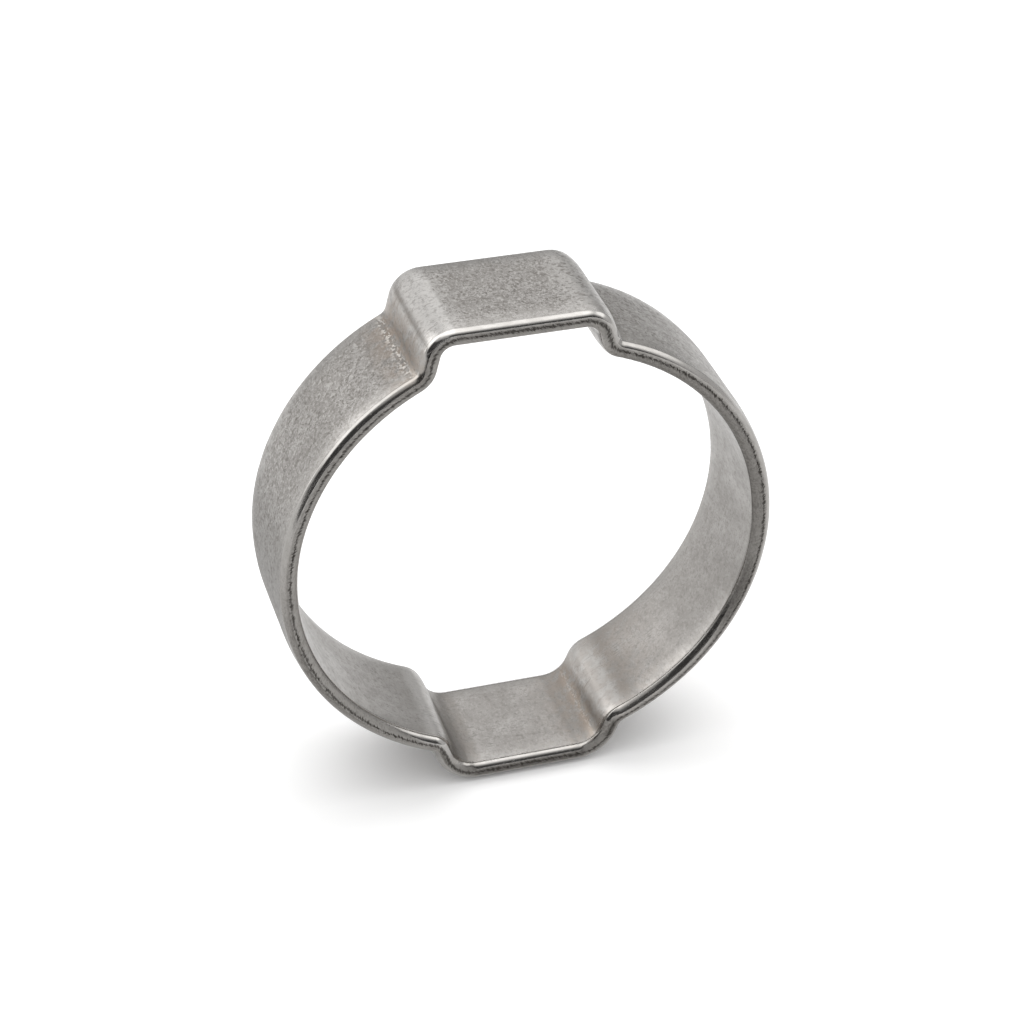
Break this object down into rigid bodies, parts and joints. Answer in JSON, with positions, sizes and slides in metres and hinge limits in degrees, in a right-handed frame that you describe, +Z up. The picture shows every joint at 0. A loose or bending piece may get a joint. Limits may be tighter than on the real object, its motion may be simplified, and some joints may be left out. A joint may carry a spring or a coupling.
{
  "type": "two-ear hose clamp",
  "caption": "Closed steel band clamp with an ear at the top and one at the bottom, pinched with pliers to tighten a hose on its spigot.",
  "frame": {"origin": "centre of the bore, half-way across the band's width", "axes": "+Y along the bore, +Z up through the ears with the rounder, lower ear at -Z, +X to the right as seen from the front"},
  "size_m": [0.0312, 0.0082, 0.0334],
  "materials": {
    "band_steel": "satin"
  },
  "bodies": {
    "root": {"clamp_band": "band_steel"}
  },
  "joints": []
}
